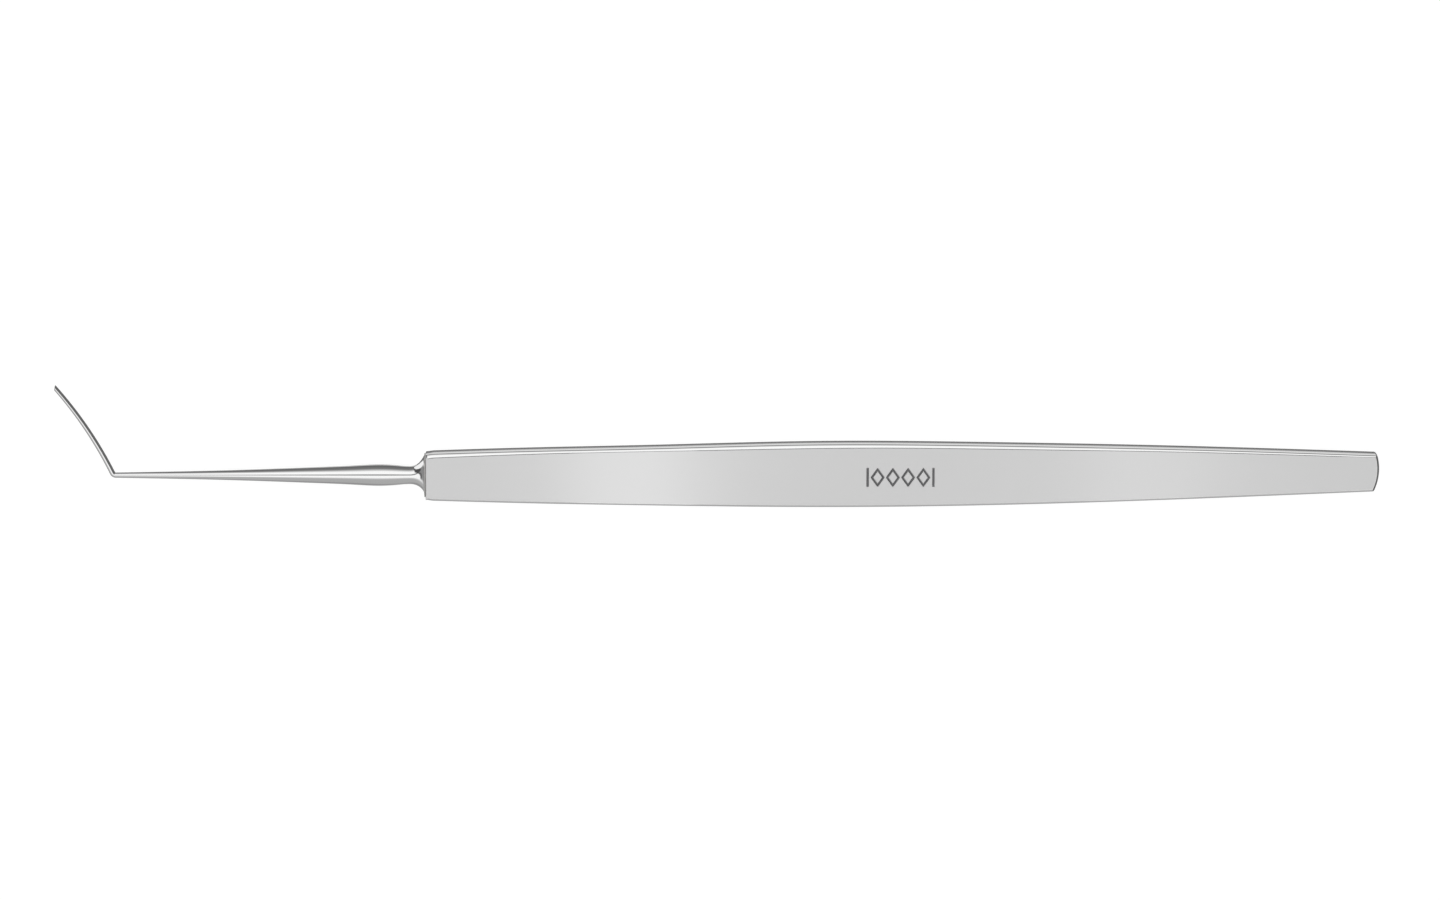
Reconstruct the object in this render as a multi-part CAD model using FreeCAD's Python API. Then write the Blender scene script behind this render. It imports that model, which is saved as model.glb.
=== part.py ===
# Flat-handled micro-spatula for eye surgery: a satin flat handle, a polished working end (tang, flared
# shoulder, tapered shank, bent spatula) and the film of silver braze that holds the tang in the handle.
#
# Every piece is drawn around the shank's axis: x runs along it from the spatula to the butt, y runs across
# the handle's broad faces towards the side that the spatula bends to, and z runs through the thickness.
# The origin is on that axis, at half the handle's length. The last step lifts everything, so that the
# handle's back face lies on z = 0. Lengths are in millimetres and angles in degrees.
import FreeCAD, Part
import math
import os

Vector = FreeCAD.Vector

# Handle
HANDLE_LENGTH = 86.4
THICKNESS = 2.0
# The outline, as (distance from the nose, half-width, centreline's place across the shank's axis).
# The handle and the shank aren't quite in line.
OUTLINE_STATIONS = (
    (0.0, 2.10, -0.035),
    (8.2, 2.41, -0.020),
    (20.4, 2.66, 0.005),
    (36.0, 2.92, 0.110),
    (50.0, 2.80, 0.142),
    (68.0, 2.35, 0.245),
    (86.4, 1.68, 0.340),
)
BUTT_ARC_RADIUS = 4.8
BUTT_CREST_Y = 0.69
BUTT_CORNER_RADIUS = 0.36
LONG_EDGE_RADIUS = 0.20
NOSE_EDGE_RADIUS = 0.08

# Joint between handle and working end
TANG_RADIUS = 0.60
TANG_LENGTH = 12.0
TANG_CHAMFER = 0.15
BRAZE_GAP = 0.05
BRAZE_SETBACK = 0.06  # the film stops this far inside the shoulder's rim
SOCKET_SPARE_DEPTH = 0.6
DRILL_POINT_ANGLE = 118.0

# Shoulder: a flare from the round neck to a rounded oblong that seats on the handle's nose
SHOULDER_LENGTH = 1.45
SHOULDER_HALF_WIDTH = 1.98
SHOULDER_HALF_THICKNESS = 0.98
SHOULDER_SQUARENESS = 5.0  # superellipse exponent at the seat; the neck's is 2, a circle
SOFT_FLARE_POWER = 2.7  # the side towards the spatula opens gradually
THICKNESS_FLARE_POWER = 4.5
TIGHT_FLARE_START = 0.1  # the other side keeps the neck's width to here, then opens as a quarter ellipse
FIN_POWER = 2.2  # near the neck the flare widens like a fin: most at its sides, least in the middle
FLARE_SECTIONS = 9
SECTION_POINTS = 32

# Shank: radius at a few stations, as (distance in front of the neck, radius)
NECK_RADIUS = 0.815
SHANK_RADII = (
    (1.00, 0.890),
    (2.60, 0.975),
    (4.80, 0.885),
    (8.80, 0.712),
    (14.80, 0.498),
    (20.80, 0.345),
    (26.57, 0.243),
)

# Elbow and spatula
ELBOW_RADIUS = 0.36
ELBOW_ANGLE = 64.93
SPATULA_LENGTH = 9.42
SPATULA_ARC_RADIUS = 35.5
SPATULA_END_HALF_THICKNESS = 0.195
SPATULA_END_HALF_WIDTH = 0.30
SPATULA_END_BEVEL = 36.0
SPATULA_OVERRUN = 0.3  # drawn longer by this much, then cut off at the bevel
SPATULA_EDGE_RADIUS = 0.05

# Engraved mark: a plain row of lozenges between two bars
MARK_LOZENGES = 4
MARK_CENTRE_X = -0.15
MARK_PITCH = 1.38
MARK_HALF_LENGTH = 0.60
MARK_HALF_HEIGHT = 0.85
MARK_LINE = 0.16
MARK_DEPTH = 0.06
MARK_BAR_GAP = 0.30

# Worked out from the dimensions above
NOSE_X = -HANDLE_LENGTH / 2
SHOULDER_SEAT_X = NOSE_X - BRAZE_GAP
NECK_X = SHOULDER_SEAT_X - SHOULDER_LENGTH
SHANK_END_X = NECK_X - SHANK_RADII[-1][0]
SHANK_END_RADIUS = SHANK_RADII[-1][1]
SHANK_END_SLOPE = (SHANK_RADII[-2][1] - SHANK_RADII[-1][1]) / (SHANK_RADII[-1][0] - SHANK_RADII[-2][0])
SOCKET_RADIUS = TANG_RADIUS + BRAZE_GAP

ORIGIN = Vector(0, 0, 0)
X_AXIS = Vector(1, 0, 0)
Y_AXIS = Vector(0, 1, 0)
Z_AXIS = Vector(0, 0, 1)
TOLERANCE = 1e-6
JOIN_TOLERANCE = 1e-4  # the flare's first section is a spline, this close to the neck's true circle


# Handle ---------------------------------------------------------------------------------------------


def smooth_edge(points):
    """A spline edge through the points."""
    curve = Part.BSplineCurve()
    curve.interpolate(points)
    return curve.toShape()


def side_points(side):
    """Points along one long side of the handle. The side is 1 towards the spatula's side, or -1."""
    points = []
    for distance, half_width, centre_y in OUTLINE_STATIONS:
        points.append(Vector(NOSE_X + distance, centre_y + side * half_width, 0))
    past_crest = points[-1].y - BUTT_CREST_Y
    points[-1].x += math.sqrt(BUTT_ARC_RADIUS**2 - past_crest**2) - BUTT_ARC_RADIUS
    return points


def handle_outline():
    """The handle seen on its broad face: two long curved sides, a straight nose and an arc at the butt."""
    upper = side_points(1)
    lower = side_points(-1)
    crest = Vector(NOSE_X + HANDLE_LENGTH, BUTT_CREST_Y, 0)
    butt = Part.Arc(upper[-1], crest, lower[-1]).toShape()
    nose = Part.LineSegment(lower[0], upper[0]).toShape()
    return Part.Wire([smooth_edge(upper), butt, smooth_edge(lower[::-1]), nose])


def is_upright(edge):
    """Whether an edge runs through the handle's thickness."""
    return abs(edge.tangentAt(edge.FirstParameter).z) > 0.99


def with_rounded_edges(blank):
    """The blank with its butt corners, its long edges and butt edges, and its nose edges rounded."""
    butt_corners = [e for e in blank.Edges if is_upright(e) and e.CenterOfMass.x > 0]
    blank = blank.makeFillet(BUTT_CORNER_RADIUS, butt_corners)
    long_edges = [e for e in blank.Edges if not is_upright(e) and e.BoundBox.XMax > 0]
    blank = blank.makeFillet(LONG_EDGE_RADIUS, long_edges)
    nose_edges = [e for e in blank.Edges if e.BoundBox.XMax < NOSE_X + TOLERANCE]
    return blank.makeFillet(NOSE_EDGE_RADIUS, nose_edges)


def socket():
    """The drilled hole that takes the tang, with the cone that the drill's point leaves."""
    depth = TANG_LENGTH + SOCKET_SPARE_DEPTH
    hole = Part.makeCylinder(SOCKET_RADIUS, depth, Vector(NOSE_X, 0, 0), X_AXIS)
    point_length = SOCKET_RADIUS / math.tan(math.radians(DRILL_POINT_ANGLE / 2))
    point = Part.makeCone(SOCKET_RADIUS, 0, point_length, Vector(NOSE_X + depth, 0, 0), X_AXIS)
    return hole.fuse(point)


def lozenge(centre_x, half_length, half_height):
    """A flat lozenge face on z = 0."""
    corners = [
        Vector(centre_x - half_length, 0, 0),
        Vector(centre_x, half_height, 0),
        Vector(centre_x + half_length, 0, 0),
        Vector(centre_x, -half_height, 0),
    ]
    return Part.Face(Part.makePolygon(corners + corners[:1]))


def mark_faces():
    """The mark's lines on z = 0: outlined lozenges in a row, and an upright bar at each end."""
    inner_scale = 1 - MARK_LINE / MARK_HALF_LENGTH
    last_x = MARK_PITCH * (MARK_LOZENGES - 1) / 2
    faces = []
    for i in range(MARK_LOZENGES):
        x = MARK_CENTRE_X + i * MARK_PITCH - last_x
        outer = lozenge(x, MARK_HALF_LENGTH, MARK_HALF_HEIGHT)
        inner = lozenge(x, MARK_HALF_LENGTH * inner_scale, MARK_HALF_HEIGHT * inner_scale)
        faces.append(outer.cut(inner))
    bar_x = last_x + MARK_HALF_LENGTH + MARK_BAR_GAP
    for x in (MARK_CENTRE_X - bar_x, MARK_CENTRE_X + bar_x):
        corner = Vector(x - MARK_LINE / 2, -MARK_HALF_HEIGHT, 0)
        faces.append(Part.makePlane(MARK_LINE, 2 * MARK_HALF_HEIGHT, corner))
    return faces


def mark():
    """The metal that the engraver takes out of the front face."""
    lines = Part.makeCompound([face.extrude(Z_AXIS * THICKNESS) for face in mark_faces()])
    lines.translate(Z_AXIS * (THICKNESS / 2 - MARK_DEPTH))
    return lines


def handle():
    """The flat handle, with its tang socket and its engraved mark."""
    slab = Part.Face(handle_outline()).extrude(Z_AXIS * THICKNESS)
    slab.translate(Z_AXIS * -THICKNESS / 2)
    return with_rounded_edges(slab).cut(socket()).cut(mark())


# Working end ----------------------------------------------------------------------------------------


def section(x, towards_spatula, away, half_thickness, exponent, fin=0.0):
    """A closed superellipse across the axis at x. What is wider than the neck can widen like a fin."""
    points = []
    for i in range(SECTION_POINTS):
        angle = 2 * math.pi * i / SECTION_POINTS
        c = math.cos(angle)
        s = math.sin(angle)
        stretch = (abs(c) ** exponent + abs(s) ** exponent) ** (-1 / exponent)
        wider = (towards_spatula if c > 0 else away) - NECK_RADIUS
        half_width = NECK_RADIUS + wider * abs(c) ** fin
        points.append(Vector(x, half_width * c * stretch, half_thickness * s * stretch))
    curve = Part.BSplineCurve()
    curve.interpolate(Points=points, PeriodicFlag=True)
    return Part.Wire(curve.toShape())


def soft_flare(along):
    """How far the flare has opened, from 0 to 1, on the gradual side."""
    return along**SOFT_FLARE_POWER


def tight_flare(along):
    """How far the flare has opened, from 0 to 1, on the tight side."""
    turned = max(0, (along - TIGHT_FLARE_START) / (1 - TIGHT_FLARE_START))
    return 1 - math.sqrt(1 - turned**2)


def shoulder():
    """The flare. Its sections are closer together towards the seat, where it opens fastest."""
    sections = []
    for i in range(FLARE_SECTIONS):
        along = math.sin(math.pi / 2 * i / (FLARE_SECTIONS - 1))
        soft = soft_flare(along)
        wider = SHOULDER_HALF_WIDTH - NECK_RADIUS
        thicker = SHOULDER_HALF_THICKNESS - NECK_RADIUS
        sections.append(
            section(
                NECK_X + along * SHOULDER_LENGTH,
                NECK_RADIUS + wider * soft,
                NECK_RADIUS + wider * tight_flare(along),
                NECK_RADIUS + thicker * along**THICKNESS_FLARE_POWER,
                2 + (SHOULDER_SQUARENESS - 2) * soft,
                FIN_POWER * (1 - along**2),
            )
        )
    return Part.makeLoft(sections, True)


def shank():
    """The turned part: the neck, the swelling in front of it and the long taper to the elbow."""
    points = [Vector(NECK_X, NECK_RADIUS, 0)]
    points += [Vector(NECK_X - distance, radius, 0) for distance, radius in SHANK_RADII]
    profile = Part.BSplineCurve()
    profile.interpolate(
        Points=points,
        InitialTangent=Vector(-1, 0, 0),
        FinalTangent=Vector(-1, -SHANK_END_SLOPE, 0),
    )
    rim = [points[-1], Vector(SHANK_END_X, 0, 0), Vector(NECK_X, 0, 0), points[0]]
    straight = [Part.LineSegment(a, b).toShape() for a, b in zip(rim, rim[1:])]
    half = Part.Face(Part.Wire([profile.toShape()] + straight))
    return half.revolve(ORIGIN, X_AXIS, 360)


def tang():
    """The round tang behind the shoulder, chamfered at its far end."""
    start = Vector(SHOULDER_SEAT_X, 0, 0)
    rod = Part.makeCylinder(TANG_RADIUS, TANG_LENGTH + BRAZE_GAP, start, X_AXIS)
    far_edge = max(rod.Edges, key=lambda e: e.BoundBox.XMin)
    return rod.makeChamfer(TANG_CHAMFER, [far_edge])


def heading(angle):
    """The unit vector in the plane of the bend, at an angle from the axis as it leaves the handle."""
    return Vector(-math.cos(angle), math.sin(angle), 0)


def elbow():
    """The tight bend, as the shank's end section turned about the bend's centre."""
    start = Vector(SHANK_END_X, 0, 0)
    disc = Part.Face(Part.Wire(Part.makeCircle(SHANK_END_RADIUS, start, X_AXIS)))
    return disc.revolve(start + Y_AXIS * ELBOW_RADIUS, Z_AXIS, -ELBOW_ANGLE)


def spatula():
    """An arc that flattens from the elbow's round section to an oval, bevelled at its end."""
    angle = math.radians(ELBOW_ANGLE)
    outwards = heading(angle - math.pi / 2)
    start = Vector(SHANK_END_X, ELBOW_RADIUS, 0) + outwards * ELBOW_RADIUS
    centre = start + outwards * SPATULA_ARC_RADIUS

    def on_arc(distance):
        return centre - heading(angle - distance / SPATULA_ARC_RADIUS - math.pi / 2) * SPATULA_ARC_RADIUS

    drawn_length = SPATULA_LENGTH + SPATULA_OVERRUN
    drawn_end = on_arc(drawn_length)
    path = Part.Wire(Part.Arc(start, on_arc(drawn_length / 2), drawn_end).toShape())
    round_section = Part.Wire(Part.makeCircle(SHANK_END_RADIUS, start, heading(angle)))
    across = heading(angle - drawn_length / SPATULA_ARC_RADIUS + math.pi / 2)
    oval = Part.Ellipse(
        drawn_end + Z_AXIS * SPATULA_END_HALF_WIDTH,
        drawn_end + across * SPATULA_END_HALF_THICKNESS,
        drawn_end,
    )
    blade = path.makePipeShell([round_section, Part.Wire(oval.toShape())], True, True)
    bevel_angle = angle - SPATULA_LENGTH / SPATULA_ARC_RADIUS - math.radians(SPATULA_END_BEVEL)
    end = on_arc(SPATULA_LENGTH)
    off_cut = Part.makeCylinder(1, 1, end, heading(bevel_angle))
    blade = blade.cut(off_cut)
    end_edges = [e for e in blade.Edges if (e.CenterOfMass - end).Length < SPATULA_END_HALF_WIDTH]
    return blade.makeFillet(SPATULA_EDGE_RADIUS, end_edges)


def working_end():
    """The working end: one piece from the tang to the spatula."""
    return shank().fuse([shoulder(), tang(), elbow(), spatula()], JOIN_TOLERANCE)


# Braze ----------------------------------------------------------------------------------------------


def braze_film():
    """Silver braze: a washer under the shoulder and a sleeve around the tang."""
    half_width = SHOULDER_HALF_WIDTH - BRAZE_SETBACK
    half_thickness = SHOULDER_HALF_THICKNESS - BRAZE_SETBACK
    seat = section(SHOULDER_SEAT_X, half_width, half_width, half_thickness, SHOULDER_SQUARENESS)
    washer = Part.Face(seat).extrude(X_AXIS * BRAZE_GAP)
    sleeve_length = TANG_LENGTH - TANG_CHAMFER
    sleeve = Part.makeCylinder(SOCKET_RADIUS, sleeve_length, Vector(NOSE_X, 0, 0), X_AXIS)
    return washer.fuse(sleeve).cut(tang())


PARTS = {"handle": handle, "working_end": working_end, "braze_film": braze_film}


def main():
    os.makedirs("parts", exist_ok=True)
    for name, make in PARTS.items():
        shape = make()
        shape.translate(Z_AXIS * THICKNESS / 2)
        shape.exportStep(f"parts/{name}.step")
        print(name, "valid" if shape.isValid() else "NOT VALID", len(shape.Solids), "solid")


main()
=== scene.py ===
# The flat-handled micro-spatula on a white table, seen nearly from above under a large soft light.
#
# Lengths are in millimetres until a mesh is made, and angles in degrees. The handle and the working end are
# drawn around the shank's axis, as the CAD model is. They are then lifted, so that the handle's back lies on
# z = 0.
import math

import bmesh
import bpy
import numpy as np
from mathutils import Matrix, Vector


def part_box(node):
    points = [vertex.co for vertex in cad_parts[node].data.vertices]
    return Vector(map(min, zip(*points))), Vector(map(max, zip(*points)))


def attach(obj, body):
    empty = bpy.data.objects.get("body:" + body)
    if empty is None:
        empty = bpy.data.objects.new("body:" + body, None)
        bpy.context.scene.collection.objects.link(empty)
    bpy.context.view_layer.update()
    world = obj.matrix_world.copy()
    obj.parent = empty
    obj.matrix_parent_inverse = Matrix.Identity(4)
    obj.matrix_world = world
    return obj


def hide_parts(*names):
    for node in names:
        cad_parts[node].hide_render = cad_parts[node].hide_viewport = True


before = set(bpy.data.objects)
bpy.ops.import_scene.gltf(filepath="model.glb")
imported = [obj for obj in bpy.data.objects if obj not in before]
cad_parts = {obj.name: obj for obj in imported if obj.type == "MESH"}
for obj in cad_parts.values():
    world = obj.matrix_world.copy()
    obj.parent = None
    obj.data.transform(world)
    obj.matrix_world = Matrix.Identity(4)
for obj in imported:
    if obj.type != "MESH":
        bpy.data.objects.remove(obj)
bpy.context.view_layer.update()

MM = 0.001

# Places that the CAD model gives
handle_low, handle_high = (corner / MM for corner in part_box("handle"))
tool_low, tool_high = (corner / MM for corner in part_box("working_end"))
NOSE_X = handle_low.x
BUTT_X = handle_high.x
THICKNESS = handle_high.z - handle_low.z
AXIS_Z = (tool_low.z + tool_high.z) / 2
TANG_END_X = tool_high.x

# Handle
# Half-width, and the centreline's place across the shank's axis, as (distance from the nose, width, place)
OUTLINE_STATIONS = (
    (0.0, 2.165, -0.035),
    (8.2, 2.41, -0.020),
    (20.4, 2.66, 0.005),
    (36.0, 2.92, 0.110),
    (50.0, 2.80, 0.142),
    (68.0, 2.35, 0.245),
    (86.4, 1.68, 0.340),
)
BUTT_ARC_RADIUS = 4.8
BUTT_CREST_Y = 0.69
BUTT_CORNER_RADIUS = 0.25
NOSE_CORNER_RADIUS = 0.09
NOSE_TAPER = 0.07  # how much each side draws in towards the nose
NOSE_TAPER_LENGTH = 0.8
EDGE_RADIUS = 0.20
NOSE_EDGE_RADIUS = 0.05
NOSE_EDGE_REACH = 0.22  # the long edges take up their own shape over this length behind the nose
# The front edge on the spatula's side is broken by hand: from the face, a shallow start, a bevel that turns
# slowly and a tight corner. The angles are of the surface's normal, from the face's.
BEVEL_ANGLES = (11.5, 16.0, 42.0, 90.0)
BEVEL_START_LENGTH = 0.06
BEVEL_CORNER_LENGTH = 0.11
# The bevel's own length varies, as (distance from the nose, length)
BEVEL_LENGTHS = ((0, 0.29), (10, 0.19), (18.5, 0.165), (32, 0.27), (43, 0.235), (56.6, 0.205), (67.5, 0.15),
                 (86.4, 0.10))
BEVEL_STEPS = (3, 5, 5)
SIDE_CROWN = 0.035
SIDE_STEPS = 6
CORNER_STEPS = 5  # on each side of a corner's middle
SLOPE_REACH = 0.01  # a side's slope is taken over this length to each side of a place
BUTT_END_LENGTH = 1.26  # how far from the butt's crest the rows of the long sides stop
END_BLEND = 8.0  # the face grids take up the shape of the nose and the butt over this length
CLOSE_ROWS_LENGTH = 1.2  # the rows lie closer together over this length behind the nose
CLOSE_ROWS = 10
ROWS_BEFORE_MARK = 40
ROWS_AFTER_MARK = 44
# The columns of the face grids, as (share of the way across, steps to get there). They are close at the mark
COLUMNS_BEFORE_MARK = ((0.12, 4), (0.28, 4))
MARK_COLUMNS_END = 0.67
COLUMNS_AFTER_MARK = ((0.88, 4), (1.0, 4))

# Engraved mark
MARK_LOZENGES = 4
MARK_CENTRE_X = -0.15
MARK_PITCH = 1.38
MARK_HALF_LENGTH = 0.60
MARK_HALF_HEIGHT = 0.85
MARK_LINE = 0.16
MARK_DEPTH = 0.06
MARK_BAR_GAP = 0.30
MARK_WALL = 0.045  # the sloping side of a groove is this wide
MARK_GRID = 0.036  # spacing of the grid under the mark
MARK_COLOUR = (0.20, 0.20, 0.205)
MARK_ROUGHNESS = 0.5

# Joint between handle and working end
TANG_RADIUS = 0.60
TANG_CHAMFER = 0.15
RIM_SPACING = 0.1  # a ring this close to each end of the tang keeps its shading straight
BRAZE_GAP = 0.05
SOCKET_SPARE_DEPTH = 0.6
SOCKET_POINT = 0.39
SOCKET_SIDES = 48
DRILL_START = 1.0  # the drill's body starts this far in front of the nose

# Shoulder
SHOULDER_LENGTH = 1.45
SHOULDER_HALF_WIDTH = 1.98
SHOULDER_HALF_THICKNESS = 0.98
SHOULDER_SQUARENESS = 5.0
SHOULDER_EDGE_RADIUS = 0.04
SOFT_FLARE_POWER = 2.7
THICKNESS_FLARE_POWER = 4.5
FIN_POWER = 2.2  # near the neck the flare widens like a fin: most at its sides, least in the middle
TIGHT_FLARE_START = 0.1
FLARE_STEPS = 28
SEAT_RIM_TURNS = (0.0, 0.35, 0.7)  # sections over the seat's rounded rim, as shares of the quarter turn
RIM_CLEARANCE = 0.06  # the flare's sections stop this far from the seat, clear of its rim

# Shank, elbow and spatula
NECK_RADIUS = 0.815
SHANK_RADII = ((0, NECK_RADIUS), (1.0, 0.890), (2.6, 0.975), (4.8, 0.885), (8.8, 0.712), (14.8, 0.498),
               (20.8, 0.345), (26.57, 0.243))
SHANK_STEPS = 90
ELBOW_RADIUS = 0.36
ELBOW_ANGLE = 64.93
ELBOW_STEPS = 14
SPATULA_LENGTH = 9.42
SPATULA_ARC_RADIUS = 35.5
SPATULA_END_HALF_THICKNESS = 0.195
SPATULA_END_HALF_WIDTH = 0.30
SPATULA_END_BEVEL = 36.0
SPATULA_EDGE_RADIUS = 0.05
SPATULA_RIM_TURNS = (0.0, 0.25, 0.5, 0.75, 1.0)
SPATULA_SQUARE_END = 0.25  # sections square to the path stop this far from the end, clear of its bevel
SPATULA_STEPS = 60
TOOL_SIDES = 64

# Camera and studio
CAMERA_LENS = 150.0
CAMERA_DISTANCE = 544.7
CAMERA_TILT = 12.0  # away from straight down, towards the spatula's side
CAMERA_TARGET = (-16.5, 2.12, 0.0)
STUDIO_RADIUS = 5000.0
FLOOR_HALF_SIZE = 3000.0
FLOOR_DROP = 0.01  # keeps the floor just under the handle's back
FLOOR_REFLECTANCE = 0.25
FLOOR_GLOW = 0.90
BACKGROUND = 0.96

SEAT_X = NOSE_X - BRAZE_GAP
NECK_X = SEAT_X - SHOULDER_LENGTH
SHANK_END_X = NECK_X - SHANK_RADII[-1][0]


# Shared ---------------------------------------------------------------------------------------------


def smooth_curve(stations, end_slopes=None):
    """A cubic spline through (position, value) stations, with the end slopes given or left free."""
    at, value = np.array(stations, float).T
    step = np.diff(at)
    slope = np.diff(value) / step
    last = len(at) - 1
    rows = np.eye(last + 1)
    right = np.zeros(last + 1)
    for i in range(1, last):
        rows[i, i - 1 : i + 2] = step[i - 1], 2 * (step[i - 1] + step[i]), step[i]
        right[i] = 6 * (slope[i] - slope[i - 1])
    if end_slopes:
        rows[0, :2] = 2 * step[0], step[0]
        rows[last, last - 1 :] = step[-1], 2 * step[-1]
        right[0] = 6 * (slope[0] - end_slopes[0])
        right[last] = 6 * (end_slopes[1] - slope[-1])
    bend = np.linalg.solve(rows, right)

    def curve(x):
        i = min(max(int(np.searchsorted(at, x)) - 1, 0), last - 1)
        t = x - at[i]
        start_slope = slope[i] - step[i] * (2 * bend[i] + bend[i + 1]) / 6
        cubic = (bend[i + 1] - bend[i]) / (6 * step[i])
        return value[i] + t * (start_slope + t * (bend[i] / 2 + t * cubic))

    return curve


def smooth_step(x):
    """0 up to x = 0, 1 from x = 1, and an even slope between."""
    x = min(max(x, 0.0), 1.0)
    return x * x * (3 - 2 * x)


def make_object(name, vertices, faces):
    """A mesh object from points in millimetres around the shank's axis, with its faces turned outwards."""
    mesh = bpy.data.meshes.new(name)
    mesh.from_pydata([(x * MM, y * MM, (z + AXIS_Z) * MM) for x, y, z in vertices], [], faces)
    work = bmesh.new()
    work.from_mesh(mesh)
    bmesh.ops.recalc_face_normals(work, faces=work.faces)
    work.to_mesh(mesh)
    work.free()
    piece = bpy.data.objects.new(name, mesh)
    bpy.context.scene.collection.objects.link(piece)
    return piece


def shade(piece, sharp_angle):
    """Smooth shading that keeps flat faces flat and edges over the angle sharp."""
    piece.data.shade_smooth()
    piece.data.set_sharp_from_angle(angle=math.radians(sharp_angle))
    weighted = piece.modifiers.new("flat_faces", "WEIGHTED_NORMAL")
    weighted.keep_sharp = True


def bridge(first, second):
    """Quads between two closed loops of vertex numbers."""
    return [(first[i - 1], first[i], second[i], second[i - 1]) for i in range(len(first))]


# Handle ---------------------------------------------------------------------------------------------


class Outline:
    """The handle's outline in plan: four chains of (point, outward normal) between its corners' middles."""

    def __init__(self, rows, columns):
        half_width = smooth_curve([(distance, width) for distance, width, _ in OUTLINE_STATIONS])
        centre = smooth_curve([(distance, place) for distance, _, place in OUTLINE_STATIONS])

        def side_y(x, side):
            distance = x - NOSE_X
            drawn_in = NOSE_TAPER * (1 - smooth_step(distance / NOSE_TAPER_LENGTH))
            return centre(distance) + side * (half_width(distance) - drawn_in)

        def butt_x(y):
            return BUTT_X - BUTT_ARC_RADIUS + math.sqrt(BUTT_ARC_RADIUS**2 - (y - BUTT_CREST_Y) ** 2)

        self.side_y = side_y
        self.butt_x = butt_x
        self.corners = {}
        for side in (1, -1):
            butt_end = butt_x(side_y(BUTT_X, side))
            self.corners[side] = (self.corner(NOSE_X, side, 1), self.corner(butt_end, side, -1))
        self.rows = rows
        self.columns = columns

    def corner(self, x, side, inwards):
        """The rounded corner where the long side meets the nose or the butt, as (point, normal) pairs."""
        y = self.side_y(x, side)
        tip = np.array((x, y))
        at_butt = inwards < 0
        radius = BUTT_CORNER_RADIUS if at_butt else NOSE_CORNER_RADIUS
        along_side = np.array((x + inwards * radius, self.side_y(x + inwards * radius, side))) - tip
        end_y = y - side * radius
        along_end = np.array((self.butt_x(end_y) if at_butt else x, end_y)) - tip
        along_side /= np.linalg.norm(along_side)
        along_end /= np.linalg.norm(along_end)
        half_angle = math.acos(float(along_side @ along_end)) / 2
        bisector = along_side + along_end
        centre = tip + bisector / np.linalg.norm(bisector) * radius / math.sin(half_angle)
        side_normal = tip + along_side * radius / math.tan(half_angle) - centre
        end_normal = tip + along_end * radius / math.tan(half_angle) - centre
        start = math.atan2(side_normal[1], side_normal[0])
        turn = math.atan2(end_normal[1], end_normal[0]) - start
        turn = (turn + math.pi) % (2 * math.pi) - math.pi
        arc = []
        for i in range(2 * CORNER_STEPS + 1):
            angle = start + turn * i / (2 * CORNER_STEPS)
            normal = np.array((math.cos(angle), math.sin(angle)))
            arc.append((centre + normal * radius, normal))
        return arc

    def long_side(self, side):
        """From the middle of the nose corner to the middle of the butt corner."""
        nose, butt = self.corners[side]
        chain = nose[: CORNER_STEPS + 1][::-1]
        for x in self.rows[1:-1]:
            rise = self.side_y(x + SLOPE_REACH, side) - self.side_y(x - SLOPE_REACH, side)
            slope = rise / (2 * SLOPE_REACH)
            normal = np.array((-slope, 1.0)) * side / math.hypot(slope, 1)
            chain.append((np.array((x, self.side_y(x, side))), normal))
        return chain + butt[: CORNER_STEPS + 1]

    def end(self, which):
        """From the middle of the corner at -y to that of the corner at +y: 0 is the nose, 1 the butt."""
        low, high = self.corners[-1][which], self.corners[1][which]
        first, last = low[-1][0][1], high[-1][0][1]
        chain = low[CORNER_STEPS:]
        for column in self.columns[1:-1]:
            y = first + (last - first) * column
            if which:
                point = np.array((self.butt_x(y), y))
                normal = (point - (BUTT_X - BUTT_ARC_RADIUS, BUTT_CREST_Y)) / BUTT_ARC_RADIUS
            else:
                point = np.array((NOSE_X, y))
                normal = np.array((-1.0, 0.0))
            chain.append((point, normal))
        return chain + high[CORNER_STEPS:][::-1]


def spread(start, breaks):
    """Positions from the start, even between the breaks, which are (position, steps to get there)."""
    positions = [start]
    for position, steps in breaks:
        positions += list(np.linspace(positions[-1], position, steps + 1)[1:])
    return positions


def mark_groove(x, y):
    """How deep the engraving is at a point of the front face, from 0 to 1."""
    x -= MARK_CENTRE_X
    across = MARK_HALF_LENGTH * MARK_HALF_HEIGHT / math.hypot(MARK_HALF_LENGTH, MARK_HALF_HEIGHT)
    line_share = MARK_LINE / MARK_HALF_LENGTH
    last_x = MARK_PITCH * (MARK_LOZENGES - 1) / 2
    bar_x = last_x + MARK_HALF_LENGTH + MARK_BAR_GAP
    outside = max(abs(abs(x) - bar_x) - MARK_LINE / 2, abs(y) - MARK_HALF_HEIGHT)
    for i in range(MARK_LOZENGES):
        size = abs(x - i * MARK_PITCH + last_x) / MARK_HALF_LENGTH + abs(y) / MARK_HALF_HEIGHT
        outside = min(outside, (abs(size - 1 + line_share / 2) - line_share / 2) * across)
    return smooth_step(0.5 - outside / MARK_WALL)


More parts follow.
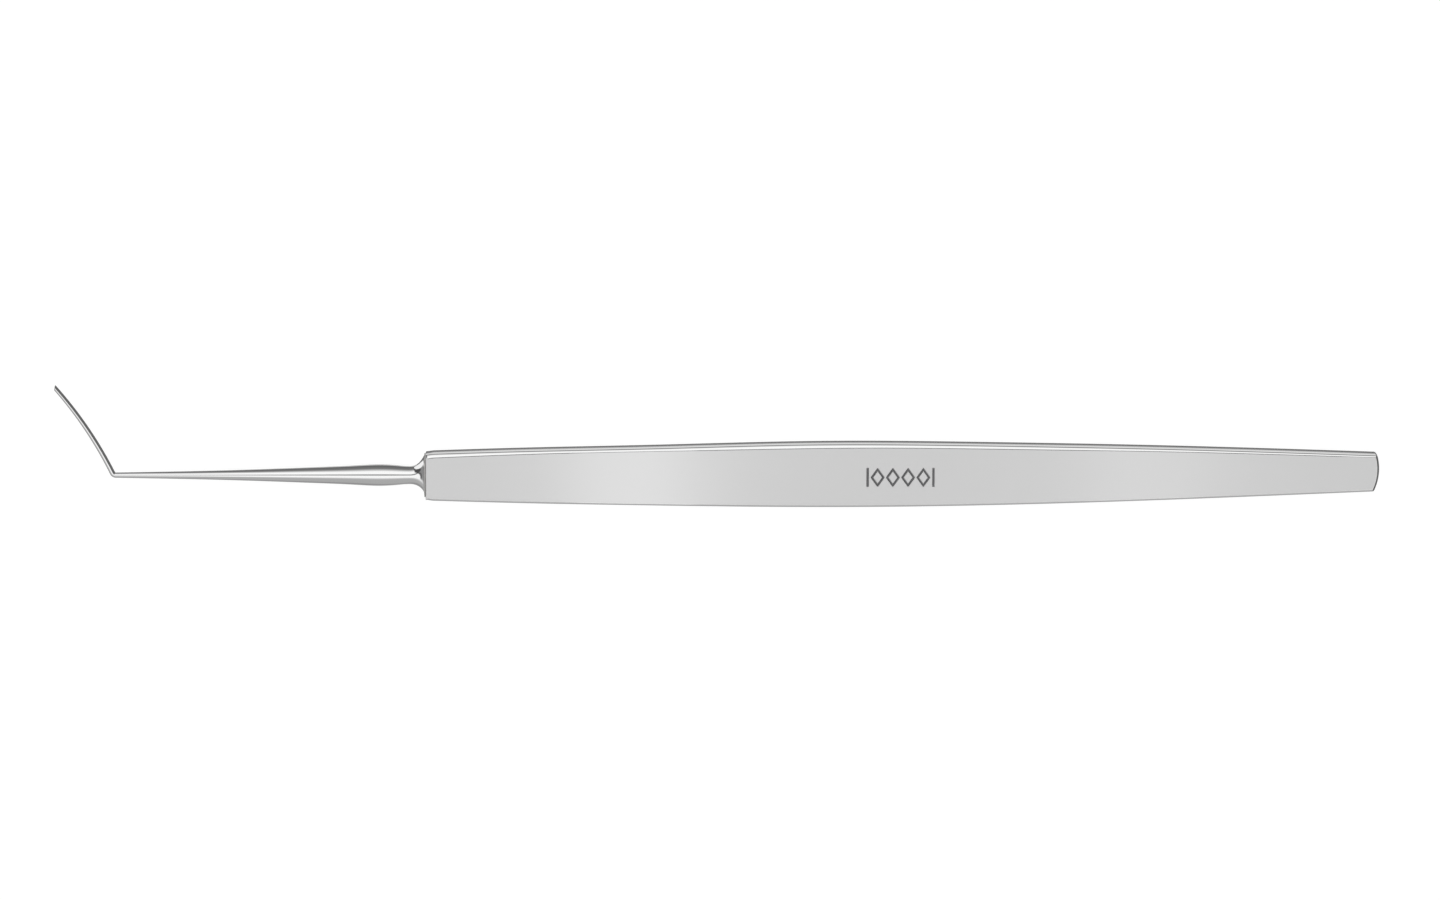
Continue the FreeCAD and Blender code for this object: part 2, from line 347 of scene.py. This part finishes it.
def face_grid(south, north, west, east, columns):
    """Points over a face from its four boundary chains. The end chains shape only the grid near them."""
    v = np.array(columns)[None, :, None]
    south, north, west, east = (np.array(chain) for chain in (south, north, west, east))
    grid = (1 - v) * south[:, None] + v * north[:, None]
    from_nose = (south[:, 0] - south[0, 0]) / END_BLEND
    from_butt = (south[-1, 0] - south[:, 0]) / END_BLEND
    for chain, row, distance in ((west, 0, from_nose), (east, -1, from_butt)):
        share = np.array([1 - smooth_step(d) for d in distance])
        grid = grid + share[:, None, None] * (chain - grid[row])[None]
    return grid


def round_edge(radius):
    """(inset from the side, drop from the face) down a rounded edge, from the face to the side."""
    turns = np.linspace(0, math.pi / 2, sum(BEVEL_STEPS) + 1)
    return radius * np.array([(1 - math.sin(turn), 1 - math.cos(turn)) for turn in turns])


def bevelled_edge(bevel_length):
    """The same down the edge that is broken by hand."""
    place = np.zeros(2)
    places = [place]
    lengths = (BEVEL_START_LENGTH, bevel_length, BEVEL_CORNER_LENGTH)
    for start, end, length, steps in zip(BEVEL_ANGLES, BEVEL_ANGLES[1:], lengths, BEVEL_STEPS):
        for i in range(steps):
            angle = math.radians(start + (end - start) * (i + 0.5) / steps)
            place = place + np.array((math.cos(angle), math.sin(angle))) * length / steps
            places.append(place)
    return np.array([(place[0] - inwards, drop) for inwards, drop in places])


def wall_strip(point, normal, bevel_length):
    """The points of one upright strip of the wall, from the front face's boundary to the back face's."""
    half = THICKNESS / 2
    distance = point[0] - NOSE_X
    behind_nose = smooth_step(distance / NOSE_EDGE_REACH)
    plain = round_edge(NOSE_EDGE_RADIUS + (EDGE_RADIUS - NOSE_EDGE_RADIUS) * behind_nose)
    bevelled = behind_nose * smooth_step(normal[1])
    front = plain + (bevelled_edge(bevel_length(distance)) - plain) * bevelled
    top = half - front[-1][1]
    bottom = plain[-1][1] - half
    levels = [(inset, half - drop) for inset, drop in front]
    levels += [(0.0, top + (bottom - top) * i / SIDE_STEPS) for i in range(1, SIDE_STEPS)]
    levels += [(inset, drop - half) for inset, drop in plain[::-1]]
    strip = []
    for inset, z in levels:
        crown = SIDE_CROWN * (z / half) ** 2
        place = point - normal * (inset + crown)
        strip.append((place[0], place[1], z))
    return strip


def grid_lines():
    """The rows of the face grids, as places along x, and their columns, as shares of the way across."""
    mark_end = MARK_PITCH * (MARK_LOZENGES - 1) / 2 + MARK_HALF_LENGTH + MARK_BAR_GAP + MARK_LINE
    mark_rows = round(2 * mark_end / MARK_GRID)
    mark_columns = round(2 * (MARK_HALF_HEIGHT + MARK_LINE) / MARK_GRID)
    nose_end = NOSE_X + NOSE_CORNER_RADIUS
    row_breaks = (
        (nose_end + CLOSE_ROWS_LENGTH, CLOSE_ROWS),
        (MARK_CENTRE_X - mark_end, ROWS_BEFORE_MARK),
        (MARK_CENTRE_X + mark_end, mark_rows),
        (BUTT_X - BUTT_END_LENGTH, ROWS_AFTER_MARK),
    )
    column_breaks = (*COLUMNS_BEFORE_MARK, (MARK_COLUMNS_END, mark_columns), *COLUMNS_AFTER_MARK)
    return spread(nose_end, row_breaks), spread(0.0, column_breaks)


def handle_mesh():
    """
    The handle as two face grids and the wall between them. Gives the points, the faces and how many of the
    faces are the wall's, which come first.
    """
    outline = Outline(*grid_lines())
    chains = [outline.end(0), outline.long_side(1), outline.end(1), outline.long_side(-1)]
    loop = chains[0][:-1] + chains[1][:-1] + chains[2][:0:-1] + chains[3][:0:-1]
    bevel_length = smooth_curve(BEVEL_LENGTHS)
    strips = [wall_strip(point, normal, bevel_length) for point, normal in loop]
    vertices = [place for strip in strips for place in strip]
    depth = len(strips[0])
    rings = [[i * depth + level for i in range(len(strips))] for level in range(depth)]
    faces = []
    for first, second in zip(rings, rings[1:]):
        faces += bridge(first, second)
    wall_faces = len(faces)
    west_count, north_count = len(chains[0]), len(chains[1])
    for ring in (rings[0], rings[-1]):
        west = ring[:west_count]
        north = ring[west_count - 1 : west_count + north_count - 1]
        east = ring[west_count + north_count - 2 : 2 * west_count + north_count - 2][::-1]
        south = [ring[0]] + ring[2 * west_count + north_count - 3 :][::-1]
        add_face(vertices, faces, south, north, west, east)
    return vertices, faces, wall_faces


def add_face(vertices, faces, south, north, west, east):
    """Fills a face between its boundary vertices, and engraves it if it is the front."""
    places = [[vertices[i] for i in chain] for chain in (south, north, west, east)]
    low_y, high_y = places[2][0][1], places[2][-1][1]
    columns = [(place[1] - low_y) / (high_y - low_y) for place in places[2]]
    grid = face_grid(*places, columns)
    is_front = places[0][0][2] > 0
    numbers = [[0] * len(columns) for _ in south]
    last_row = len(south) - 1
    for i in range(len(south)):
        for j in range(len(columns)):
            if i == 0:
                numbers[i][j] = west[j]
            elif i == last_row:
                numbers[i][j] = east[j]
            elif j == 0:
                numbers[i][j] = south[i]
            elif j == len(columns) - 1:
                numbers[i][j] = north[i]
            else:
                x, y, z = grid[i, j]
                if is_front:
                    z -= MARK_DEPTH * mark_groove(x, y)
                numbers[i][j] = len(vertices)
                vertices.append((x, y, z))
    for i in range(1, len(south)):
        for j in range(1, len(columns)):
            faces.append((numbers[i - 1][j - 1], numbers[i][j - 1], numbers[i][j], numbers[i - 1][j]))


def drilled(piece):
    """Cuts the tang's socket into the nose, with the cone that the drill's point leaves."""
    end_x = TANG_END_X + SOCKET_SPARE_DEPTH
    radius = TANG_RADIUS + BRAZE_GAP
    vertices = []
    for x in (NOSE_X - DRILL_START, end_x):
        for i in range(SOCKET_SIDES):
            angle = 2 * math.pi * i / SOCKET_SIDES
            vertices.append((x, radius * math.cos(angle), radius * math.sin(angle)))
    mouth = list(range(SOCKET_SIDES))
    bottom = list(range(SOCKET_SIDES, 2 * SOCKET_SIDES))
    tip = len(vertices)
    vertices.append((end_x + SOCKET_POINT, 0, 0))
    faces = [mouth] + bridge(mouth, bottom) + [(bottom[i - 1], bottom[i], tip) for i in range(SOCKET_SIDES)]
    drill = make_object("drill", vertices, faces)
    cut = piece.modifiers.new("socket", "BOOLEAN")
    cut.operation = "DIFFERENCE"
    cut.solver = "EXACT"
    cut.object = drill
    evaluated = piece.evaluated_get(bpy.context.evaluated_depsgraph_get())
    mesh = bpy.data.meshes.new_from_object(evaluated)
    piece.modifiers.clear()
    piece.data = mesh
    bpy.data.objects.remove(drill)


def make_handle(satin, polished):
    """The handle, with satin faces, a polished wall, the engraved mark and the drilled socket."""
    vertices, faces, wall_faces = handle_mesh()
    handle = make_object("handle_body", vertices, faces)
    handle.data.materials.append(satin)
    handle.data.materials.append(polished)
    for polygon in handle.data.polygons[:wall_faces]:
        polygon.material_index = 1
    groove = handle.data.attributes.new("groove", "FLOAT", "POINT")
    groove.data.foreach_set("value", [mark_groove(x, y) if z > 0 else 0.0 for x, y, z in vertices])
    drilled(handle)
    shade(handle, sharp_angle=35)
    return handle


# Working end ----------------------------------------------------------------------------------------


def heading(angle):
    """The unit vector in the plane of the bend, at an angle from the axis as it leaves the handle."""
    return Vector((-math.cos(angle), math.sin(angle), 0))


def ring(centre, angle, towards, away, half_thickness, exponent=2.0, core=0.0, fin=0.0, lean=0.0):
    """
    A closed superellipse across the path, with its own half-width towards the inside of the bend and away
    from it. With a fin, what reaches beyond the core is full at the sides and less towards the middle. With
    a lean, the side on the inside of the bend lies farther along the path.
    """
    inwards = heading(angle + math.pi / 2)
    points = []
    for i in range(TOOL_SIDES):
        turn = 2 * math.pi * i / TOOL_SIDES
        c = math.cos(turn)
        s = math.sin(turn)
        stretch = (abs(c) ** exponent + abs(s) ** exponent) ** (-1 / exponent)
        half_width = core + ((towards if c > 0 else away) - core) * abs(c) ** fin
        offset = half_width * c * stretch
        up = Vector((0, 0, half_thickness * s * stretch))
        points.append(centre + inwards * offset + heading(angle) * lean * offset + up)
    return points


def round_ring(x, radius):
    """A round section, square to the shank's axis."""
    return ring(Vector((x, 0, 0)), 0, radius, radius, radius)


def tang_rings():
    """From the tang's far end to the corner where it meets the shoulder's seat."""
    chamfer_x = TANG_END_X - TANG_CHAMFER
    rings = [round_ring(TANG_END_X, TANG_RADIUS - TANG_CHAMFER)]
    for x in (chamfer_x, chamfer_x - RIM_SPACING, SEAT_X + RIM_SPACING, SEAT_X):
        rings.append(round_ring(x, TANG_RADIUS))
    return rings


def shoulder_ring(along, inset=0.0, shift=0.0):
    """One section of the flare. It is along 0 at the neck and 1 at the seat."""
    soft = along**SOFT_FLARE_POWER
    turned = max(0.0, (along - TIGHT_FLARE_START) / (1 - TIGHT_FLARE_START))
    tight = 1 - math.sqrt(1 - turned**2)
    wider = SHOULDER_HALF_WIDTH - NECK_RADIUS
    thicker = SHOULDER_HALF_THICKNESS - NECK_RADIUS
    return ring(
        Vector((NECK_X + along * SHOULDER_LENGTH - shift, 0, 0)),
        0,
        NECK_RADIUS + wider * soft - inset,
        NECK_RADIUS + wider * tight - inset,
        NECK_RADIUS + thicker * along**THICKNESS_FLARE_POWER - inset,
        2 + (SHOULDER_SQUARENESS - 2) * soft,
        NECK_RADIUS,
        FIN_POWER * (1 - along**2),
    )


def shoulder_rings():
    """From the seat's rounded rim to just behind the neck."""
    rings = []
    for share in SEAT_RIM_TURNS:
        turn = math.pi / 2 * share
        inset = SHOULDER_EDGE_RADIUS * (1 - math.sin(turn))
        shift = SHOULDER_EDGE_RADIUS * (1 - math.cos(turn))
        rings.append(shoulder_ring(1.0, inset, shift))
    rings.append(shoulder_ring(1.0, 0.0, SHOULDER_EDGE_RADIUS))
    for i in range(FLARE_STEPS - 1, 0, -1):
        along = math.sin(math.pi / 2 * i / FLARE_STEPS)
        if (1 - along) * SHOULDER_LENGTH > RIM_CLEARANCE:
            rings.append(shoulder_ring(along))
    return rings


def shank_rings():
    """From the neck, over the swelling and along the taper to the elbow."""
    (before, before_radius), (end, end_radius) = SHANK_RADII[-2:]
    radius = smooth_curve(SHANK_RADII, (0.0, (end_radius - before_radius) / (end - before)))
    stations = np.linspace(0, end, SHANK_STEPS + 1)
    return [round_ring(NECK_X - distance, radius(distance)) for distance in stations]


def elbow_rings():
    """Round sections turned about the bend's centre."""
    centre = Vector((SHANK_END_X, ELBOW_RADIUS, 0))
    radius = SHANK_RADII[-1][1]
    rings = []
    for i in range(1, ELBOW_STEPS + 1):
        angle = math.radians(ELBOW_ANGLE) * i / ELBOW_STEPS
        place = centre + heading(angle - math.pi / 2) * ELBOW_RADIUS
        rings.append(ring(place, angle, radius, radius, radius))
    return rings


def spatula_ring(distance, inset=0.0, lean=0.0):
    """One section of the spatula, which flattens from round to oval along its arc."""
    bend = math.radians(ELBOW_ANGLE)
    outwards = heading(bend - math.pi / 2)
    start = Vector((SHANK_END_X, ELBOW_RADIUS, 0)) + outwards * ELBOW_RADIUS
    centre = start + outwards * SPATULA_ARC_RADIUS
    angle = bend - distance / SPATULA_ARC_RADIUS
    share = distance / SPATULA_LENGTH
    radius = SHANK_RADII[-1][1]
    half_thickness = radius + (SPATULA_END_HALF_THICKNESS - radius) * share - inset
    half_width = radius + (SPATULA_END_HALF_WIDTH - radius) * share - inset
    place = centre - heading(angle - math.pi / 2) * SPATULA_ARC_RADIUS
    return ring(place, angle, half_thickness, half_thickness, half_width, lean=lean)


def spatula_rings():
    """Along the spatula, then over the rounded rim of its bevelled end."""
    square_end = SPATULA_LENGTH - SPATULA_SQUARE_END
    rings = [spatula_ring(distance) for distance in np.linspace(0, square_end, SPATULA_STEPS)[1:]]
    lean = math.tan(math.radians(SPATULA_END_BEVEL))
    for share in SPATULA_RIM_TURNS:
        turn = math.pi / 2 * share
        distance = SPATULA_LENGTH - SPATULA_EDGE_RADIUS * (1 - math.sin(turn))
        rings.append(spatula_ring(distance, SPATULA_EDGE_RADIUS * (1 - math.cos(turn)), lean))
    return rings


def make_working_end(polished):
    """The working end: one closed skin from the tang to the spatula's end."""
    rings = tang_rings() + shoulder_rings() + shank_rings() + elbow_rings() + spatula_rings()
    vertices = [tuple(point) for points in rings for point in points]
    loops = [list(range(i * TOOL_SIDES, (i + 1) * TOOL_SIDES)) for i in range(len(rings))]
    faces = []
    for first, second in zip(loops, loops[1:]):
        faces += bridge(first, second)
    for loop in (loops[0], loops[-1]):
        middle = len(vertices)
        vertices.append(tuple(np.mean([vertices[i] for i in loop], axis=0)))
        faces += [(loop[i - 1], loop[i], middle) for i in range(TOOL_SIDES)]
    tool = make_object("working_end_body", vertices, faces)
    tool.data.materials.append(polished)
    shade(tool, sharp_angle=50)
    return tool


# Materials ------------------------------------------------------------------------------------------

# Every steel is a little lighter and darker in soft clouds
CLOUD_SIZE = 6.0
CLOUD_TINT = 0.015


class Nodes:
    """Makes and links the nodes of one tree."""

    def __init__(self, tree):
        self.tree = tree

    def add(self, kind, settings=None, **inputs):
        """A new node with its settings and inputs. An underscore in an input's name stands for a space."""
        node = self.tree.nodes.new(kind)
        for name, value in (settings or {}).items():
            setattr(node, name, value)
        for name, value in inputs.items():
            self.set(node, name.replace("_", " "), value)
        return node

    def set(self, node, name, value):
        """Sets an input by its name or number, to a constant or to another node's output."""
        socket = node.inputs[int(name) if name.isdigit() else name]
        if isinstance(value, bpy.types.NodeSocket):
            self.tree.links.new(value, socket)
        else:
            socket.default_value = value

    def calculate(self, operation, first, second):
        """The output of a calculation with two numbers."""
        node = self.add("ShaderNodeMath", {"operation": operation})
        self.set(node, "0", first)
        self.set(node, "1", second)
        return node.outputs[0]

    def ramp(self, position, stops):
        """A ramp of greys, from (position, brightness, alpha) stops. The first is at 0, the last at 1."""
        node = self.add("ShaderNodeValToRGB", Fac=position)
        made = node.color_ramp.elements
        while len(made) < len(stops):
            made.new(0.5)
        for stop, (at, brightness, alpha) in zip(made, stops):
            stop.position = at
            stop.color = (brightness, brightness, brightness, alpha)
        return node


def steel(name, colour, roughness, roughness_spread, grain_stretch, grain_size, grain_depth):
    """A procedural steel. The grain is noise stretched along the axes, and it also varies the roughness."""
    material = bpy.data.materials.new(name)
    material.use_nodes = True
    nodes = Nodes(material.node_tree)
    shader = material.node_tree.nodes["Principled BSDF"]
    shader.inputs["Metallic"].default_value = 1.0
    place = nodes.add("ShaderNodeTexCoord").outputs["Object"]
    stretched = nodes.add("ShaderNodeMapping", Vector=place, Scale=grain_stretch).outputs[0]
    grain = nodes.add("ShaderNodeTexNoise", Vector=stretched, Scale=1 / (grain_size * MM), Detail=3.0)
    clouds = nodes.add("ShaderNodeTexNoise", Vector=place, Scale=1 / (CLOUD_SIZE * MM), Detail=2.0)
    tint = nodes.add(
        "ShaderNodeMapRange",
        Value=clouds.outputs["Fac"],
        To_Min=1 - CLOUD_TINT,
        To_Max=1 + CLOUD_TINT,
    )
    base = nodes.add("ShaderNodeMix", {"data_type": "RGBA", "blend_type": "MULTIPLY"})
    nodes.set(base, "0", 1.0)
    nodes.set(base, "6", (*colour, 1.0))
    nodes.set(base, "7", tint.outputs[0])
    rough = nodes.add(
        "ShaderNodeMapRange",
        Value=grain.outputs["Fac"],
        To_Min=roughness - roughness_spread,
        To_Max=roughness + roughness_spread,
    )
    bump = nodes.add("ShaderNodeBump", Height=grain.outputs["Fac"], Strength=1.0, Distance=grain_depth * MM)
    nodes.set(shader, "Base Color", base.outputs[2])
    nodes.set(shader, "Roughness", rough.outputs[0])
    nodes.set(shader, "Normal", bump.outputs[0])
    return material


def satin_steel():
    """The handle's faces: fine lengthwise satin, with a darker, rougher floor in the engraving."""
    material = steel(
        "satin_steel_faces",
        colour=(0.558, 0.558, 0.558),
        roughness=0.33,
        roughness_spread=0.012,
        grain_stretch=(0.15, 1.0, 1.0),
        grain_size=0.06,
        grain_depth=0.0003,
    )
    nodes = Nodes(material.node_tree)
    shader = material.node_tree.nodes["Principled BSDF"]
    groove = nodes.add("ShaderNodeAttribute", {"attribute_name": "groove"}).outputs["Fac"]
    face_colour = shader.inputs["Base Color"].links[0].from_socket
    dark = nodes.add("ShaderNodeMix", {"data_type": "RGBA"})
    nodes.set(dark, "0", groove)
    nodes.set(dark, "6", face_colour)
    nodes.set(dark, "7", (*MARK_COLOUR, 1.0))
    nodes.set(shader, "Base Color", dark.outputs[2])
    face_roughness = shader.inputs["Roughness"].links[0].from_socket
    rough = nodes.add("ShaderNodeMix")
    nodes.set(rough, "0", groove)
    nodes.set(rough, "2", face_roughness)
    nodes.set(rough, "3", MARK_ROUGHNESS)
    nodes.set(shader, "Roughness", rough.outputs[0])
    return material


def polished_steel():
    """The working end and the handle's wall: fine polishing lines along the length."""
    return steel(
        "polished_steel",
        colour=(0.70, 0.70, 0.70),
        roughness=0.085,
        roughness_spread=0.025,
        grain_stretch=(1.0, 0.3, 0.3),
        grain_size=0.08,
        grain_depth=0.0003,
    )


def silver_braze():
    """The braze film: dull and slightly warm."""
    return steel(
        "silver_braze",
        colour=(0.66, 0.65, 0.62),
        roughness=0.40,
        roughness_spread=0.08,
        grain_stretch=(1.0, 1.0, 1.0),
        grain_size=0.05,
        grain_depth=0.002,
    )


# Studio ---------------------------------------------------------------------------------------------

# How bright the studio is around the x axis, as (angle from straight up towards +y, brightness)
STUDIO_PROFILE = (
    (-180, 0.20),
    (-171, 0.20),
    (-166, 0.80),
    (-140, 0.80),
    (-125, 0.40),
    (-93, 0.55),
    (-38, 0.57),
    (-26, 0.80),
    (-18, 1.30),
    (2, 1.36),
    (8, 0.85),
    (12, 0.22),
    (17, 0.22),
    (22, 1.20),
    (30, 1.38),
    (52, 1.34),
    (64, 0.88),
    (76, 0.52),
    (88, 0.26),
    (140, 0.16),
    (150, 0.60),
    (154, 0.92),
    (165, 0.92),
    (169, 0.20),
    (180, 0.20),
)
# Towards both ends of the x axis another brightness takes over, as (angle from the middle towards the butt,
# brightness, share)
STUDIO_ENDS = (
    (-90, 0.34, 1.0),
    (-36, 0.34, 1.0),
    (-30, 0.14, 1.0),
    (-25, 0.10, 1.0),
    (-20, 0.10, 0.0),
    (17, 0.10, 0.0),
    (21, 0.10, 1.0),
    (24, 0.12, 1.0),
    (31, 0.18, 1.0),
    (90, 0.18, 1.0),
)
# Beyond the nose, the end's brightness takes over only on the +y side: between these places it fades in
ENDS_STOP_Y = (-0.29, -0.22)
# Round soft lights and dark flags beyond the nose, as (direction, brightness, angle from the direction that
# it fills, angle at which it has faded)
SIDE_LIGHTS = (
    ((-0.650, 0.450, 0.610), 0.10, 18.0, 25.0),
    ((-0.850, 0.450, -0.270), 1.25, 32.0, 37.0),
    ((-0.500, -0.750, -0.430), 0.40, 28.0, 35.0),
)
# Small strip lights above the handle's face, as (x, height, width, brightness)
STRIP_LIGHTS = ((-24.8, 30.0, 11.5, 0.35), (25.0, 38.0, 11.0, 0.25), (44.0, 38.0, 20.0, 0.03))
STRIP_LIGHT_LENGTH = 40.0


def sine(angle):
    """The sine of an angle in degrees."""
    return math.sin(math.radians(angle))


def cosine(angle):
    """The cosine of an angle in degrees."""
    return math.cos(math.radians(angle))


def round_lights(nodes, facing, colour):
    """Lays the round lights and flags over a colour, by how near the facing direction is to each of them."""
    for direction, brightness, full, faded in SIDE_LIGHTS:
        nearness = nodes.add("ShaderNodeVectorMath", {"operation": "DOT_PRODUCT"})
        nodes.set(nearness, "0", facing)
        nodes.set(nearness, "1", direction)
        share = nodes.add(
            "ShaderNodeMapRange",
            {"interpolation_type": "SMOOTHSTEP"},
            Value=nearness.outputs["Value"],
            From_Min=cosine(faded),
            From_Max=cosine(full),
        )
        lit = nodes.add("ShaderNodeMix", {"data_type": "RGBA"})
        nodes.set(lit, "0", share.outputs[0])
        nodes.set(lit, "6", colour)
        nodes.set(lit, "7", (brightness, brightness, brightness, 1.0))
        colour = lit.outputs[2]
    return colour


def studio_material():
    """Light that depends on direction: a profile around the x axis, darker ends and round side lights."""
    material = bpy.data.materials.new("studio_light")
    material.use_nodes = True
    tree = material.node_tree
    tree.nodes.clear()
    nodes = Nodes(tree)
    place = nodes.add("ShaderNodeTexCoord").outputs["Object"]
    unit = nodes.add("ShaderNodeVectorMath", {"operation": "NORMALIZE"})
    nodes.set(unit, "0", place)
    parts = nodes.add("ShaderNodeSeparateXYZ", Vector=unit.outputs[0])
    around = nodes.calculate("ARCTAN2", parts.outputs["Y"], parts.outputs["Z"])
    turn = nodes.add("ShaderNodeMapRange", Value=around, From_Min=-math.pi, From_Max=math.pi)
    around_profile = [((angle + 180) / 360, brightness, 1.0) for angle, brightness in STUDIO_PROFILE]
    ramp = nodes.ramp(turn.outputs[0], around_profile)
    sideways = nodes.add("ShaderNodeMapRange", Value=parts.outputs["X"], From_Min=-1.0, From_Max=1.0)
    ends = nodes.ramp(sideways.outputs[0], [((sine(angle) + 1) / 2, *rest) for angle, *rest in STUDIO_ENDS])
    stop, start = ENDS_STOP_Y
    beside = nodes.add("ShaderNodeMapRange", Value=parts.outputs["Y"], From_Min=stop, From_Max=start)
    beyond_butt = nodes.calculate("GREATER_THAN", parts.outputs["X"], 0.0)
    allowed = nodes.calculate("MAXIMUM", beside.outputs[0], beyond_butt)
    mixed = nodes.add("ShaderNodeMix", {"data_type": "RGBA"})
    nodes.set(mixed, "0", nodes.calculate("MULTIPLY", ends.outputs["Alpha"], allowed))
    nodes.set(mixed, "6", ramp.outputs["Color"])
    nodes.set(mixed, "7", ends.outputs["Color"])
    lit = round_lights(nodes, unit.outputs[0], mixed.outputs[2])
    light = nodes.add("ShaderNodeEmission", Color=lit)
    nodes.add("ShaderNodeOutputMaterial", Surface=light.outputs[0])
    return material


def make_strip_lights(handle):
    """Small strip lights that light only the handle. The satin faces blur them into two lighter zones."""
    lit = bpy.data.collections.new("lit_by_strips")
    lit.objects.link(handle)
    for x, height, width, brightness in STRIP_LIGHTS:
        data = bpy.data.lights.new("strip", "AREA")
        data.shape = "RECTANGLE"
        data.size = width * MM
        data.size_y = STRIP_LIGHT_LENGTH * MM
        data.energy = brightness * math.pi * data.size * data.size_y
        strip = bpy.data.objects.new("strip", data)
        strip.location = (x * MM, -height * math.tan(math.radians(CAMERA_TILT)) * MM, height * MM)
        strip.visible_camera = False
        strip.light_linking.receiver_collection = lit
        bpy.context.scene.collection.objects.link(strip)


def make_dome():
    """The studio's light dome, which lights and reflects but which the camera doesn't see."""
    work = bmesh.new()
    bmesh.ops.create_uvsphere(work, u_segments=96, v_segments=48, radius=STUDIO_RADIUS * MM)
    mesh = bpy.data.meshes.new("studio_dome")
    work.to_mesh(mesh)
    work.free()
    dome = bpy.data.objects.new("studio_dome", mesh)
    dome.data.materials.append(studio_material())
    dome.visible_camera = False
    bpy.context.scene.collection.objects.link(dome)


def make_floor():
    """A floor that glows nearly white, and that the steels don't reflect."""
    half = FLOOR_HALF_SIZE * MM
    corners = [(x * half, y * half, -FLOOR_DROP * MM) for x, y in ((-1, -1), (1, -1), (1, 1), (-1, 1))]
    mesh = bpy.data.meshes.new("floor")
    mesh.from_pydata(corners, [], [(0, 1, 2, 3)])
    floor = bpy.data.objects.new("floor", mesh)
    material = bpy.data.materials.new("floor_white")
    material.use_nodes = True
    shader = material.node_tree.nodes["Principled BSDF"]
    shader.inputs["Base Color"].default_value = (FLOOR_REFLECTANCE, FLOOR_REFLECTANCE, FLOOR_REFLECTANCE, 1)
    shader.inputs["Roughness"].default_value = 1.0
    shader.inputs["Specular IOR Level"].default_value = 0.0
    shader.inputs["Emission Color"].default_value = (1, 1, 1, 1)
    shader.inputs["Emission Strength"].default_value = FLOOR_GLOW
    floor.data.materials.append(material)
    floor.visible_glossy = False
    bpy.context.scene.collection.objects.link(floor)


def make_background():
    """A plain pale background beyond the floor, and colours shown as they are."""
    world = bpy.data.worlds.new("white")
    world.use_nodes = True
    grey = (BACKGROUND, BACKGROUND, BACKGROUND, 1)
    world.node_tree.nodes["Background"].inputs["Color"].default_value = grey
    bpy.context.scene.world = world
    bpy.context.scene.view_settings.view_transform = "Standard"


def make_camera():
    """A long lens looking down at the face, tilted towards the spatula's side."""
    data = bpy.data.cameras.new("camera")
    data.lens = CAMERA_LENS
    data.sensor_width = 36.0
    data.clip_start = 0.01
    data.clip_end = 20.0
    camera = bpy.data.objects.new("camera", data)
    tilt = math.radians(CAMERA_TILT)
    back = Vector((0, math.sin(tilt), math.cos(tilt)))
    camera.location = (Vector(CAMERA_TARGET) + back * CAMERA_DISTANCE) * MM
    camera.rotation_euler = (-tilt, 0, 0)
    bpy.context.scene.collection.objects.link(camera)
    bpy.context.scene.camera = camera


# The scene ------------------------------------------------------------------------------------------

faces_finish = satin_steel()
polished_finish = polished_steel()
braze_finish = silver_braze()

handle = make_handle(faces_finish, polished_finish)
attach(handle, "root")
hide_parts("handle")

tool = make_working_end(polished_finish)
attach(tool, "root")
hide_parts("working_end")

for material_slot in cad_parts["braze_film"].material_slots:
    material_slot.link = "OBJECT"
    material_slot.material = braze_finish

make_dome()
make_floor()
make_background()
make_strip_lights(handle)
make_camera()
